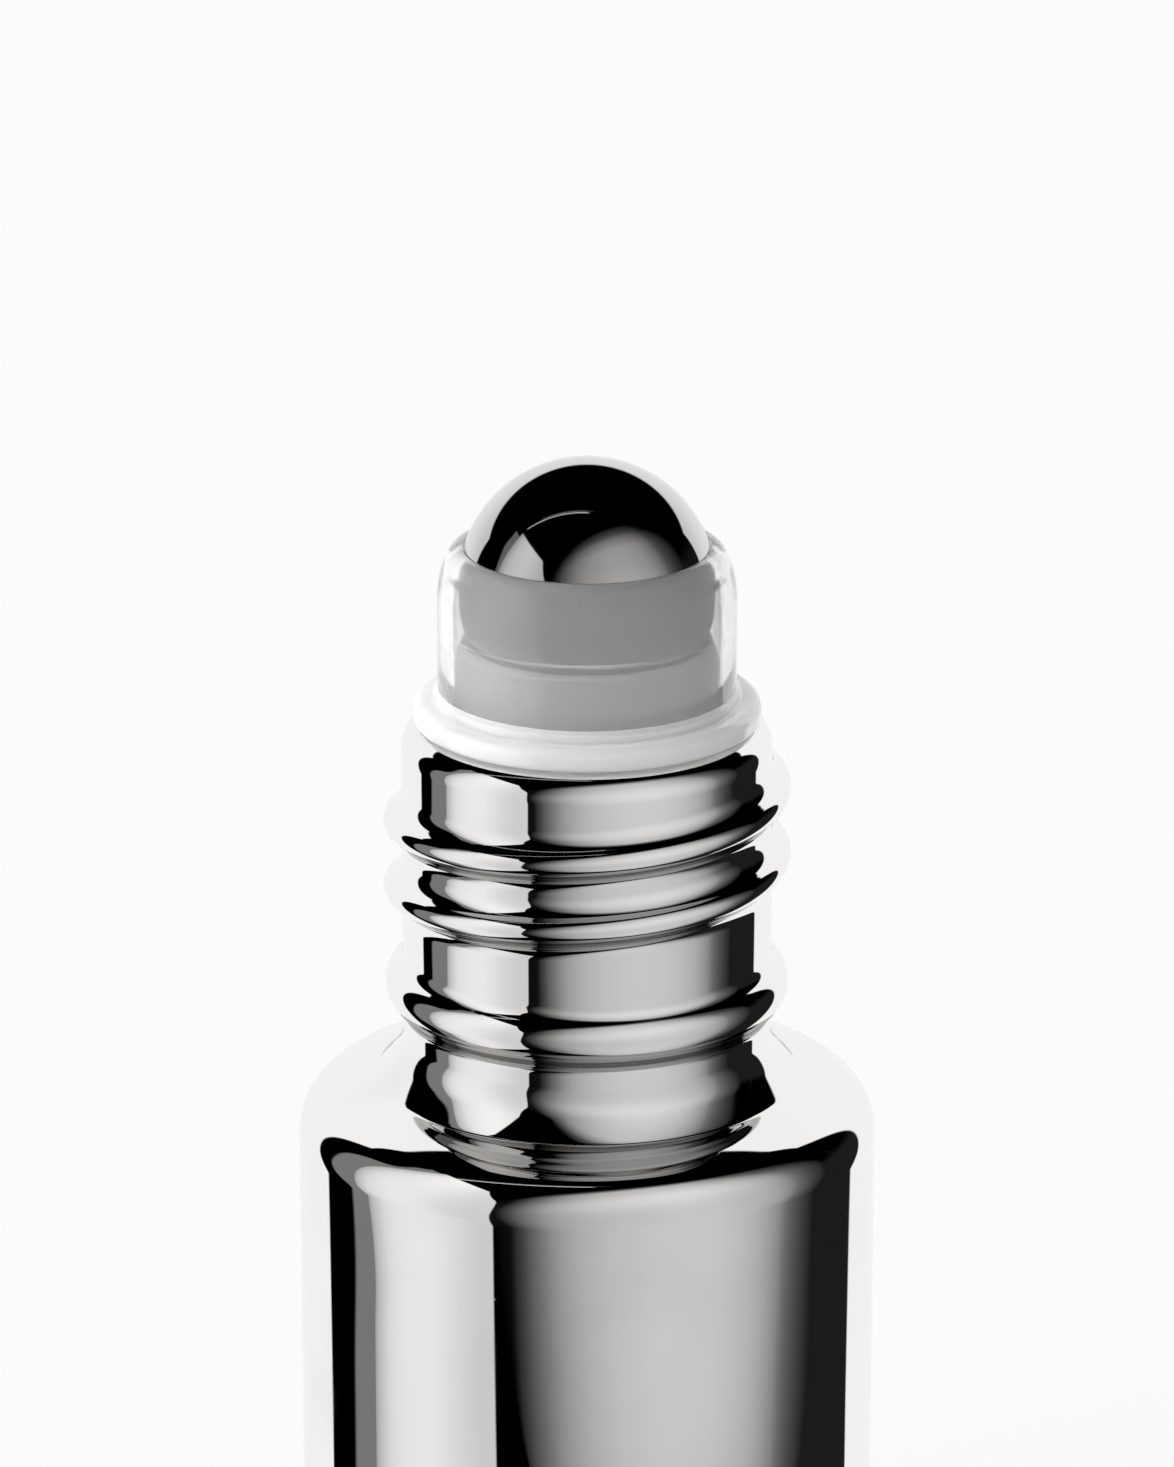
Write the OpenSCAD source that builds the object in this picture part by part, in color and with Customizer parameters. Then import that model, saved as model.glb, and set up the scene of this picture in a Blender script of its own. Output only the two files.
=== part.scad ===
// Roll on bottle: a silvered glass bottle with a threaded neck, a clear snap-in roller fitment and a steel
// ball. Millimetres. The origin is the centre of the base, on the surface it stands on. +Z is up the neck.
// Every piece is turned about the Z axis. The thread winds upwards anticlockwise, seen from above.

/* [Bottle body] */
// Outside diameter of the straight side
bottle_d = 22.6; // [21.6:0.1:26]
// Height of the straight side above the standing surface, up to the start of the shoulder
side_h = 42.8; // [30:0.1:70]
// Thickness of the glass side
side_wall = 2; // [1.2:0.1:2.6]
// Height of the inside floor above the standing surface
floor_h = 3.6; // [2.6:0.1:6]
// Rounding of the outside heel
heel_r = 2; // [1:0.1:3]
// Rounding of the inside corner at the floor
floor_round_r = 2.6; // [1:0.1:4]
// Depth of the hollow in the underside
punt_depth = 0.8; // [0.3:0.1:1.4]
// Width of the flat ring that the bottle stands on
foot_ring_w = 2.2; // [1:0.1:4]

/* [Shoulder] */
// Rounding where the side turns in to the shoulder
corner_r = 1.9; // [1.2:0.1:2.4]
// Angle that the corner rounding turns through before the dome takes over
corner_angle = 66; // [62:1:70]
// Radius of the domed shoulder, seen from the side
dome_r = 8; // [7:0.1:12]
// Rounding between the shoulder and the neck
root_r = 2.4; // [1.6:0.1:3]
// Thickness of the glass under the shoulder
shoulder_wall = 2.2; // [1.6:0.1:3]
// Rounding of the hollow's upper corner
ceiling_round_r = 3; // [1.5:0.1:4]
// Rounding where the hollow's ceiling turns up into the neck's bore
throat_r = 1.2; // [0.5:0.1:2]

/* [Neck] */
// Height of the neck's flat mouth above the start of the shoulder
neck_h = 16.8; // [16:0.1:22]
// Outside diameter of the neck between the ridges
neck_d = 14.4; // [13.6:0.1:15.2]
// Diameter of the neck's bore
bore_d = 9.6; // [9:0.1:10.4]
// Rounding of the mouth's outer edge
mouth_r = 0.7; // [0.3:0.05:1]
// Rounding of the mouth's inner edge
mouth_inner_r = 0.25; // [0.1:0.05:0.5]

/* [Thread] */
// Height of the thread's crest above the neck
thread_h = 0.72; // [0.5:0.02:1]
// Climb of the thread in one turn
thread_pitch = 2.7; // [2.4:0.05:3.2]
// Width of the thread's ridge at its foot
thread_w = 2.2; // [1.6:0.05:2.3]
// Drop from the mouth to the crest's highest pass over the +X side
thread_drop = 2.65; // [2.4:0.05:3.5]
// Turn of the thread past its highest pass over the +X side, in degrees
thread_top_turn = 60; // [30:5:90]
// Whole turn of the thread, in degrees
thread_turn = 660; // [540:10:720]
// Turn over which each end of the thread sinks into the neck, in degrees
thread_fade = 30; // [20:2:60]

/* [Transfer bead] */
// Height of the bead, the level ring under the thread, above the neck
bead_h = 0.67; // [0.45:0.01:1]
// Width of the bead at its foot
bead_w = 2.9; // [2.2:0.05:3.2]
// Drop from the mouth to the middle of the bead
bead_drop = 10.65; // [10.2:0.05:11.4]

/* [Ball] */
// Diameter of the steel ball
ball_d = 10; // [9:0.1:10.6]
// Height of the ball's centre above the mouth of the neck
ball_rise = 5.4; // [5.2:0.05:6.5]
// Gap all round between the ball and the surfaces that hold it
ball_gap = 0.04; // [0.02:0.01:0.1]

/* [Roller housing] */
// Gap between the ball's widest part and the wall of its cavity
cavity_gap = 0.18; // [0.12:0.02:0.4]
// Thickness of the collar's wall
collar_wall = 0.6; // [0.45:0.05:1]
// Height of the lip's top edge above the ball's centre
lip_rise = 1.6; // [1.3:0.05:2]
// Radius of the lip's rounded top edge
lip_r = 0.5; // [0.35:0.05:0.6]
// Depth below the ball's centre at which the collar starts to curve in
curve_drop = 0.35; // [0:0.05:1]
// Radius of the collar's inward curve
curve_r = 3.4; // [3:0.1:6]
// Angle above the ball's middle at which the cage's ball-shaped band ends and the cavity begins
cage_angle = 6; // [3:1:9]
// Width of the flange that stands out of the collar's foot and rests on the mouth
flange_w = 0.97; // [0.8:0.01:1.2]
// Thickness of the flange
flange_t = 0.95; // [0.8:0.05:1.2]
// Width of the small step round the collar's foot
foot_step_w = 0.16; // [0.1:0.02:0.3]
// Height of the step above the flange
foot_step_h = 0.3; // [0.15:0.05:0.6]
// Length of the plug below the flange
plug_len = 6; // [4.5:0.1:8]
// Thickness of the plug's wall
plug_wall = 0.8; // [0.6:0.05:1]
// Gap between the plug's wall and the neck's bore
plug_gap = 0.3; // [0.2:0.05:0.4]
// Gap between the crest of a sealing rib and the neck's bore
rib_gap = 0.03; // [0.01:0.01:0.08]
// Number of sealing ribs round the plug
rib_count = 3; // [2:1:4]
// Width of a sealing rib at its foot
rib_w = 0.8; // [0.5:0.05:0.9]
// Length of the tapered lead-in at the plug's end
lead_len = 0.9; // [0.4:0.05:1]
// Depth of that taper
lead_depth = 0.3; // [0.1:0.05:0.4]

/* [Ball seat] */
// Depth of the seat's top edge below the ball's centre
seat_drop = 1.8; // [1.4:0.05:2.4]
// Gap between the seat and the housing round it
seat_fit = 0.02; // [0.01:0.01:0.05]
// Thickness of the seat's floor under the ball
seat_floor = 1; // [0.7:0.05:1.5]
// Diameter of the feed hole
feed_d = 3.2; // [2:0.1:4]
// Width of a feed groove in the seat's bowl
groove_w = 0.7; // [0.4:0.05:1]
// Depth of a feed groove
groove_depth = 0.2; // [0.1:0.02:0.26]

/* [Hidden] */

// Straight pieces that stand for a full circle, and for each rounding of an outline
$fn = 96;
arc_steps = 12;

bottle_r = bottle_d / 2;
inner_r = bottle_r - side_wall;
neck_r = neck_d / 2;
bore_r = bore_d / 2;
mouth_z = side_h + neck_h;
punt_rim_r = bottle_r - heel_r - foot_ring_w;
// Radius of the ball-shaped hollow in the underside, and half of the angle that it spans
punt_r = (punt_rim_r * punt_rim_r + punt_depth * punt_depth) / (2 * punt_depth);
punt_half_angle = asin(punt_rim_r / punt_r);

// The dome continues the corner rounding, and the root rounding touches the dome and the neck
corner_c = [bottle_r - corner_r, side_h];
dome_c = corner_c + (corner_r - dome_r) * [cos(corner_angle), sin(corner_angle)];
root_offset = neck_r + root_r - dome_c.x;
root_c = [neck_r + root_r, dome_c.y + sqrt(pow(dome_r + root_r, 2) - root_offset * root_offset)];
root_angle = acos(root_offset / (dome_r + root_r));
ceiling_z = dome_c.y + dome_r * sin(root_angle) - shoulder_wall;

bead_r = (bead_w * bead_w / 4 + bead_h * bead_h) / (2 * bead_h);
// The bead is rooted in the neck as deep as half its height
bead_half_angle = acos(1 - 3 / 2 * bead_h / bead_r);

// Rings of the thread, the shares of its half width where its outline has points, and how deep it is rooted
thread_rings = 96;
thread_width_shares = [-1, -0.84, -0.6, -0.3, 0, 0.3, 0.6, 0.84, 1];
thread_root_depth = thread_h / 2;
thread_end_depth = thread_h / 5;

ball_r = ball_d / 2;
ball_c = [0, mouth_z + ball_rise];
bowl_r = ball_r + ball_gap;
cavity_r = ball_r + cavity_gap;
collar_r = cavity_r + collar_wall;
flange_r = collar_r + flange_w;
cavity_floor_z = mouth_z + flange_t;

// The collar's curve and the lip's edge touch where both have turned through curve_angle
curve_c = [collar_r - curve_r, ball_c.y - curve_drop];
curve_angle = asin((lip_rise + curve_drop - lip_r) / (curve_r - lip_r));
lip_c = curve_c + (curve_r - lip_r) * [cos(curve_angle), sin(curve_angle)];
// The lip's edge ends where it meets the ball-shaped band of the cage
lip_reach = norm(lip_c - ball_c);
lip_turn = acos((lip_reach * lip_reach + lip_r * lip_r - bowl_r * bowl_r) / (2 * lip_reach * lip_r));
lip_end_angle = 180 + atan2(lip_c.y - ball_c.y, lip_c.x) - lip_turn;
lip_end = lip_c + lip_r * [cos(lip_end_angle), sin(lip_end_angle)];
lip_band_angle = atan2(lip_end.y - ball_c.y, lip_end.x);
cage_end = ball_c + bowl_r * [cos(cage_angle), sin(cage_angle)];

plug_r = bore_r - plug_gap;
plug_inner_r = plug_r - plug_wall;
plug_end_z = mouth_z - plug_len;
rib_pitch = (plug_len - lead_len) / rib_count;
rib_h = plug_gap - rib_gap;
rib_r = (rib_w * rib_w / 4 + rib_h * rib_h) / (2 * rib_h);
rib_half_angle = asin(rib_w / 2 / rib_r);

seat_r = cavity_r - seat_fit;
spigot_r = plug_inner_r - seat_fit;
seat_top_z = ball_c.y - seat_drop;
seat_end_z = ball_c.y - bowl_r - seat_floor;
feed_r = feed_d / 2;
groove_count = 2;

// Points along an arc from one angle to the other, both ends included
function arc(centre, radius, from, to) =
    [for (i = [0:arc_steps])
        let (angle = from + (to - from) * i / arc_steps)
        centre + radius * [cos(angle), sin(angle)]];

// Smooth step from 0 to 1
function smooth(t) = let (c = max(0, min(1, t))) c * c * (3 - 2 * c);

// Half outline of the glass, from the middle of the underside round the outside and back down the inside
function glass_outline() = concat(
    arc([0, punt_depth - punt_r], punt_r, 90, 90 - punt_half_angle),
    arc([bottle_r - heel_r, heel_r], heel_r, -90, 0),
    arc(corner_c, corner_r, 0, corner_angle),
    arc(dome_c, dome_r, corner_angle, root_angle),
    arc(root_c, root_r, root_angle + 180, 180),
    arc([neck_r - mouth_r, mouth_z - mouth_r], mouth_r, 0, 90),
    arc([bore_r + mouth_inner_r, mouth_z - mouth_inner_r], mouth_inner_r, 90, 180),
    arc([bore_r + throat_r, ceiling_z + throat_r], throat_r, 180, 270),
    arc([inner_r - ceiling_round_r, ceiling_z - ceiling_round_r], ceiling_round_r, 90, 0),
    arc([inner_r - floor_round_r, floor_h + floor_round_r], floor_round_r, 0, -90),
    [[0, floor_h]]
);

// One ring of the thread at an angle round the neck: rooted below the surface at both sides of its foot
function thread_ring(turn) =
    let (
        start = thread_top_turn - thread_turn,
        grown = smooth(min(turn - start, thread_top_turn - turn) / thread_fade),
        crest = thread_h * grown - thread_end_depth * (1 - grown),
        z = mouth_z - thread_drop + thread_pitch * turn / 360
    )
    [for (share = thread_width_shares)
        let (r = abs(share) == 1 ? neck_r - thread_root_depth : neck_r + crest * cos(90 * share))
        [r * cos(turn), r * sin(turn), z + share * thread_w / 2]];

// The helical ridge: rings of points joined by triangles, closed at both ends
module thread() {
    n = len(thread_width_shares);
    start = thread_top_turn - thread_turn;
    points = [for (i = [0:thread_rings]) each thread_ring(start + thread_turn * i / thread_rings)];
    sides = [for (i = [0:thread_rings - 1], j = [0:n - 1])
        let (a = i * n + j, b = i * n + (j + 1) % n)
        each [[a, b, b + n], [a, b + n, a + n]]];
    first_end = [for (j = [1:n - 2]) [0, j + 1, j]];
    last = thread_rings * n;
    last_end = [for (j = [1:n - 2]) [last, last + j, last + j + 1]];
    polyhedron(points, concat(sides, first_end, last_end));
}

// The transfer bead: a slice off a round ring, rooted in the neck
module bead() {
    bead_c = [neck_r + bead_h - bead_r, mouth_z - bead_drop];
    rotate_extrude() polygon(arc(bead_c, bead_r, -bead_half_angle, bead_half_angle));
}

module glass_bottle() {
    color("silver") {
        rotate_extrude() polygon(glass_outline());
        bead();
        thread();
    }
}

// Half outline of the housing, from the plug's end up the outside, over the lip and down the inside
function housing_outline() = concat(
    [[plug_inner_r, plug_end_z], [plug_r - lead_depth, plug_end_z], [plug_r, plug_end_z + lead_len]],
    [for (i = [rib_count - 1:-1:0])
        let (rib_c = [plug_r + rib_h - rib_r, mouth_z - rib_pitch * (i + 1 / 2)])
        each arc(rib_c, rib_r, -rib_half_angle, rib_half_angle)],
    [[plug_r, mouth_z]],
    arc([flange_r - flange_t / 2, mouth_z + flange_t / 2], flange_t / 2, -90, 90),
    [[collar_r + foot_step_w, cavity_floor_z], [collar_r + foot_step_w, cavity_floor_z + foot_step_h],
     [collar_r, cavity_floor_z + foot_step_h + foot_step_w]],
    arc(curve_c, curve_r, 0, curve_angle),
    arc(lip_c, lip_r, curve_angle, lip_end_angle),
    arc(ball_c, bowl_r, lip_band_angle, cage_angle),
    [[cavity_r, cage_end.y - (cavity_r - cage_end.x)], [cavity_r, cavity_floor_z],
     [plug_inner_r, cavity_floor_z]]
);

module roller_housing() {
    color("whitesmoke") rotate_extrude() polygon(housing_outline());
}

// Half outline of the seat: a ring with a ball-shaped bowl, and a spigot that drops into the plug
function seat_outline() = concat(
    [[feed_r, seat_end_z], [spigot_r, seat_end_z], [spigot_r, cavity_floor_z],
     [seat_r, cavity_floor_z], [seat_r, seat_top_z]],
    arc(ball_c, bowl_r, -asin(seat_drop / bowl_r), -acos(feed_r / bowl_r))
);

module ball_seat() {
    color("gainsboro") difference() {
        rotate_extrude() polygon(seat_outline());
        // The grooves follow the bowl from the feed hole up to the seat's edge
        translate([0, 0, ball_c.y]) for (i = [0:groove_count - 1])
            rotate([90, 0, 180 * i / groove_count])
                cylinder(r = bowl_r + groove_depth, h = groove_w, center = true);
    }
}

module roller_ball() {
    color("dimgray") translate([0, 0, ball_c.y]) sphere(r = ball_r);
}

glass_bottle();
roller_housing();
ball_seat();
roller_ball();
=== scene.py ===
# Looks of the roll on bottle: a mirror-silvered glass bottle, a clear roller housing, a milky ball seat and
# a polished steel ball, in a plain white studio. The frame is in metres, with +Z up the neck.
import math

import bmesh
import bpy
import numpy as np
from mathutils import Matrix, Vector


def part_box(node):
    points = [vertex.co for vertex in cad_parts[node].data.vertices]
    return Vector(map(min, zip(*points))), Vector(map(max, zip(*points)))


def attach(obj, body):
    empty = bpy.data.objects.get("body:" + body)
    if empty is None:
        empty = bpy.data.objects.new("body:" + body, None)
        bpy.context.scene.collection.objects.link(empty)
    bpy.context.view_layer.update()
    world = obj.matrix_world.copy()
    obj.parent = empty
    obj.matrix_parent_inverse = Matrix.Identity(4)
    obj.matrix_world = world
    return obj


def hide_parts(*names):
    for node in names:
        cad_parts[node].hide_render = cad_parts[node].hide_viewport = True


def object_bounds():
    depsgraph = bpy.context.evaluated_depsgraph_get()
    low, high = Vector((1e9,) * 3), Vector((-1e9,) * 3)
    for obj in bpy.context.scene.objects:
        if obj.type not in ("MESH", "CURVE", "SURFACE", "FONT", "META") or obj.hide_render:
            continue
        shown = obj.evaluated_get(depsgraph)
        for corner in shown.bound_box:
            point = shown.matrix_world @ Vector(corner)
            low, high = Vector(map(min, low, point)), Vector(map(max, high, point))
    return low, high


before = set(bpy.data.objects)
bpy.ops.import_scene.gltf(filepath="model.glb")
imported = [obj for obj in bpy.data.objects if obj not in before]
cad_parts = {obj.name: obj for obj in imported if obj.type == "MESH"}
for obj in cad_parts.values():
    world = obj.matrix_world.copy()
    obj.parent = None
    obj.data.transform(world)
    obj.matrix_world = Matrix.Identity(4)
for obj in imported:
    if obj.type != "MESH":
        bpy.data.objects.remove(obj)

cad_low, cad_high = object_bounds()
mm = 0.001


# Glass bottle
# The real piece is a blown glass bottle, pressed to its thread and bead while hot, then silvered all over.
# It stands on a flat ring round a shallow hollow. Every form but the thread is turned about the Z axis.
_, bottle_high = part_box("glass_bottle")
mouth_z, body_r = bottle_high.z, cad_high.y
side_wall, floor_z, heel_r, floor_round_r = 2 * mm, 3.6 * mm, 2 * mm, 2.6 * mm
punt_depth, foot_ring_w = 0.8 * mm, 2.2 * mm
side_top_z, corner_r, corner_turn, dome_r = 42.8 * mm, 1.9 * mm, 66, 8 * mm
root_r, root_turn, flare_r, flare_turn, crease_r = 1.75 * mm, 37, 7 * mm, 45.5, 0.25 * mm
neck_r, bore_r, mouth_round_r, mouth_inner_r = 7.2 * mm, 4.8 * mm, 1.05 * mm, 0.25 * mm
ceiling_z, ceiling_round_r, throat_r = 42.76 * mm, 3 * mm, 1.2 * mm
thread_h, thread_pitch, thread_slope, thread_crest_share = 0.72 * mm, 2.7 * mm, 60, 0.375
thread_drop, thread_first, thread_last, thread_fade = 2.65 * mm, -600, 60, 30
bead_h, bead_drop, bead_slope, bead_crest_share = 0.67 * mm, 10.65 * mm, 52, 0.62
bottle_turns, side_rows, neck_rows, profile_rows = 240, 3, 250, 3000
same_place, near = 0.00001 * mm, 0.01 * mm


def direction(turn):
    """Step (r, z) of length one, at an angle in degrees above the level."""
    return np.array([math.cos(math.radians(turn)), math.sin(math.radians(turn))])


def arc(centre, radius, first, last, steps):
    """Points (r, z) of an arc: the centre plus the radius times the cosine and sine of angles spread evenly
    from first to last, in degrees."""
    angles = np.radians(np.linspace(first, last, steps + 1))[:, None]
    return np.array(centre) + radius * np.hstack([np.cos(angles), np.sin(angles)])


def ease(share):
    """Smooth step: three times the square less twice the cube of the share, held between 0 and 1."""
    share = np.clip(share, 0, 1)
    return share * share * (3 - 2 * share)


def ridge(across, height, slope, crest_share):
    """Height of a moulded ridge at a distance across it. A round crest meets two hollow feet where both
    have turned through the slope angle. The height over one less its cosine is the sum of their radii."""
    slope = math.radians(slope)
    both = height / (1 - math.cos(slope))
    crest, foot = both * crest_share, both * (1 - crest_share)
    reach = both * math.sin(slope)
    across = np.abs(across)
    top = height - crest + np.sqrt(np.clip(crest**2 - across**2, 0, None))
    side = foot - np.sqrt(np.clip(foot**2 - (reach - across)**2, 0, None))
    return np.where(across < crest * math.sin(slope), top, np.where(across < reach, side, 0))


def thread_height(turn, z):
    """Sum over the passes of the thread: a ridge about the helix that climbs one pitch in a turn of 360
    degrees, sunk away over the fade at both of its ends."""
    height = np.zeros(np.broadcast_shapes(turn.shape, z.shape))
    for whole_turns in (-720, -360, 0):
        along = turn + whole_turns
        crest_z = mouth_z - thread_drop + thread_pitch * along / 360
        grown = ease((along - thread_first) / thread_fade) * ease((thread_last - along) / thread_fade)
        height += grown * ridge(z - crest_z, thread_h, thread_slope, thread_crest_share)
    return height


def bottle_outline():
    """Half outline of the glass: up the outside from the middle of the underside, over the mouth, and down
    the inside to the middle of the floor. The arcs of the shoulder touch, so each starts at the angle that
    the last one ends at. Also gives which of its points lie on the outside of the neck."""
    punt_rim = body_r - heel_r - foot_ring_w
    punt_r = (punt_rim**2 + punt_depth**2) / (2 * punt_depth)
    punt_turn = math.degrees(math.asin(punt_rim / punt_r))
    corner = np.array([body_r - corner_r, side_top_z])
    dome = corner + (corner_r - dome_r) * direction(corner_turn)
    level, root, flared = (direction(turn) for turn in (0, root_turn, flare_turn))
    flare = root_r * (level - root) + flare_r * (root - flared)
    meet = (neck_r + flare[0] + crease_r * flared[0] - dome[0]) / (dome_r + crease_r)
    meet_turn = math.degrees(math.acos(meet))
    crease = dome + (dome_r + crease_r) * np.array([meet, math.sqrt(1 - meet**2)])
    flare_middle = crease + (flare_r - crease_r) * flared
    root_middle = flare_middle + (root_r - flare_r) * root
    inner_r = body_r - side_wall
    side_z = np.linspace(heel_r, side_top_z, side_rows + 2)[1:-1]
    neck_z = np.linspace(root_middle[1], mouth_z - mouth_round_r, neck_rows)
    below = np.concatenate([
        arc((0, punt_depth - punt_r), punt_r, 90, 90 - punt_turn, steps=8),
        arc((body_r - heel_r, heel_r), heel_r, -90, 0, steps=10),
        np.column_stack([np.full(side_rows, body_r), side_z]),
        arc(corner, corner_r, 0, corner_turn, steps=26),
        arc(dome, dome_r, corner_turn, meet_turn, steps=16)[1:],
        arc(crease, crease_r, meet_turn + 180, flare_turn + 180, steps=6)[1:],
        arc(flare_middle, flare_r, flare_turn + 180, root_turn + 180, steps=10)[1:],
        arc(root_middle, root_r, root_turn + 180, 180, steps=16)[1:-1]])
    neck = np.column_stack([np.full(neck_rows, neck_r), neck_z])
    above = np.concatenate([
        arc((neck_r - mouth_round_r, mouth_z - mouth_round_r), mouth_round_r, 0, 90, steps=10)[1:],
        arc((bore_r + mouth_inner_r, mouth_z - mouth_inner_r), mouth_inner_r, 90, 180, steps=4),
        arc((bore_r + throat_r, ceiling_z + throat_r), throat_r, 180, 270, steps=6),
        arc((inner_r - ceiling_round_r, ceiling_z - ceiling_round_r), ceiling_round_r, 90, 0, steps=6),
        arc((inner_r - floor_round_r, floor_z + floor_round_r), floor_round_r, 0, -90, steps=6),
        [[0, floor_z]]])
    on_neck = np.concatenate([np.zeros(len(below)), np.ones(neck_rows), np.zeros(len(above))])
    return np.concatenate([below, neck, above]), on_neck


def turned_piece(name, outline, turns, reshape=None):
    """A surface of revolution: each outline point (r, z) is carried round the Z axis, r times the cosine
    and sine of the turn. reshape may change r and z over the whole grid. Points on the axis become one pole
    each, and an outline with no pole is closed into a ring."""
    turn = np.linspace(0, 360, turns, endpoint=False)[None, :]
    r = np.repeat(outline[:, :1], turns, axis=1)
    z = np.repeat(outline[:, 1:], turns, axis=1)
    if reshape is not None:
        r, z = reshape(r, z, turn)
    x, y = r * np.cos(np.radians(turn)), r * np.sin(np.radians(turn))
    points = np.stack([x, y, z], axis=2).reshape(-1, 3)
    row, column = np.meshgrid(np.arange(len(outline)), np.arange(turns), indexing="ij")
    next_row, next_column = (row + 1) % len(outline), (column + 1) % turns
    quads = np.stack([row * turns + column, row * turns + next_column,
                      next_row * turns + next_column, next_row * turns + column], axis=2)
    has_poles = (outline[:, 0] < same_place).any()
    rings = quads[:-1] if has_poles else quads
    mesh = bpy.data.meshes.new(name)
    mesh.from_pydata(points, [], rings.reshape(-1, 4).tolist())
    made = bpy.data.objects.new(name, mesh)
    bpy.context.scene.collection.objects.link(made)
    if has_poles:
        close_poles(mesh)
    mesh.shade_smooth()
    return made


def close_poles(mesh):
    """Merges the doubled points at both poles, so that the faces that meet there become triangles."""
    work = bmesh.new()
    work.from_mesh(mesh)
    at_pole = [point for point in work.verts if point.co.xy.length < same_place]
    bmesh.ops.remove_doubles(work, verts=at_pole, dist=same_place)
    work.to_mesh(mesh)
    work.free()


bottle_points, on_neck = bottle_outline()


def raise_ridges(r, z, turn):
    """The outside of the neck is its radius plus the height of the thread and the bead. At each turn, its
    rows are spread evenly along the length of that profile, so that steep sides get as many as flat."""
    rows = np.flatnonzero(on_neck)
    level = np.linspace(z[rows[0], 0], z[rows[-1], 0], profile_rows)[:, None]
    bead = ridge(level - (mouth_z - bead_drop), bead_h, bead_slope, bead_crest_share)
    profile = neck_r + thread_height(turn, level) + bead
    for column in range(turn.shape[1]):
        steps = np.hypot(np.diff(profile[:, column]), np.diff(level[:, 0]))
        length = np.concatenate([[0], np.cumsum(steps)])
        even = np.linspace(0, length[-1], len(rows))
        r[rows, column] = np.interp(even, length, profile[:, column])
        z[rows, column] = np.interp(even, length, level[:, 0])
    return r, z


bottle = turned_piece("silvered_bottle", bottle_points, bottle_turns, raise_ridges)


def calc(tree, operation, *values):
    """One Math node. Each input is a number or another node's output."""
    node = tree.nodes.new("ShaderNodeMath")
    node.operation = operation
    for socket, value in zip(node.inputs, values):
        if isinstance(value, (int, float)):
            socket.default_value = value
        else:
            tree.links.new(value, socket)
    return node.outputs[0]


def product(tree, first, *others):
    """Product of two or more numbers and outputs."""
    for other in others:
        first = calc(tree, "MULTIPLY", first, other)
    return first


def fade(tree, value, low, high, start=0, end=1):
    """Smooth change from start where the value is low to end where it is high."""
    node = tree.nodes.new("ShaderNodeMapRange")
    node.interpolation_type = "SMOOTHSTEP"
    tree.links.new(value, node.inputs["Value"])
    for name, number in (("From Min", low), ("From Max", high), ("To Min", start), ("To Max", end)):
        node.inputs[name].default_value = number
    return node.outputs["Result"]


def noise(tree, place, size, detail):
    """Soft random pattern whose blotches are about the given size across."""
    node = tree.nodes.new("ShaderNodeTexNoise")
    tree.links.new(place, node.inputs["Vector"])
    node.inputs["Scale"].default_value = 1 / size
    node.inputs["Detail"].default_value = detail
    return node.outputs["Fac"]


def tinted(tree, mask, first, second):
    """Colour that changes from the first to the second with the mask. Either may be a node's output."""
    node = tree.nodes.new("ShaderNodeMix")
    node.data_type = "RGBA"
    tree.links.new(mask, node.inputs["Factor"])
    for name, colour in (("A", first), ("B", second)):
        if isinstance(colour, tuple):
            node.inputs[name].default_value = colour
        else:
            tree.links.new(colour, node.inputs[name])
    return node.outputs["Result"]


smear_size, smear_detail, smear_faint, smear_full = 6 * mm, 4, 0.5, 0.75
speck_size, speck_rarity, speck_edge, speck_core = 0.5 * mm, 0.93, 0.12, 0.05


def handling_marks():
    """Node group of what handling leaves on any of the pieces: faint smears, and sparse specks of dust."""
    group = bpy.data.node_groups.new("handling_marks", "ShaderNodeTree")
    for name, default in (("Smear Size", smear_size), ("Speck Size", speck_size)):
        socket = group.interface.new_socket(name, in_out="INPUT", socket_type="NodeSocketFloat")
        socket.default_value = default
    for name in ("Smear", "Speck"):
        group.interface.new_socket(name, in_out="OUTPUT", socket_type="NodeSocketFloat")
    inside, outside = group.nodes.new("NodeGroupInput"), group.nodes.new("NodeGroupOutput")
    place = group.nodes.new("ShaderNodeTexCoord").outputs["Object"]
    smear = group.nodes.new("ShaderNodeTexNoise")
    smear.inputs["Detail"].default_value = smear_detail
    speck = group.nodes.new("ShaderNodeTexVoronoi")
    for pattern, size in ((smear, "Smear Size"), (speck, "Speck Size")):
        group.links.new(place, pattern.inputs["Vector"])
        group.links.new(calc(group, "DIVIDE", 1.0, inside.outputs[size]), pattern.inputs["Scale"])
    chosen = group.nodes.new("ShaderNodeSeparateColor")
    group.links.new(speck.outputs["Color"], chosen.inputs["Color"])
    some = calc(group, "GREATER_THAN", chosen.outputs["Red"], speck_rarity)
    dot = fade(group, speck.outputs["Distance"], speck_edge, speck_core)
    group.links.new(fade(group, smear.outputs["Fac"], smear_faint, smear_full), outside.inputs["Smear"])
    group.links.new(product(group, some, dot), outside.inputs["Speck"])
    return group


marks = handling_marks()


def finish_of(name, piece, slot, body, *nodes):
    """A new material on the piece, which rides on its body and stands for its CAD nodes. The slot is not
    used.
    Gives the node tree, its Principled shader, the place on the object and a set of handling marks."""
    material = bpy.data.materials.new(name)
    material.use_nodes = True
    piece.data.materials.append(material)
    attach(piece, body)
    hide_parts(*nodes)
    tree = material.node_tree
    marked = tree.nodes.new("ShaderNodeGroup")
    marked.node_tree = marks
    place = tree.nodes.new("ShaderNodeTexCoord").outputs["Object"]
    return tree, tree.nodes["Principled BSDF"], place, marked


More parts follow.
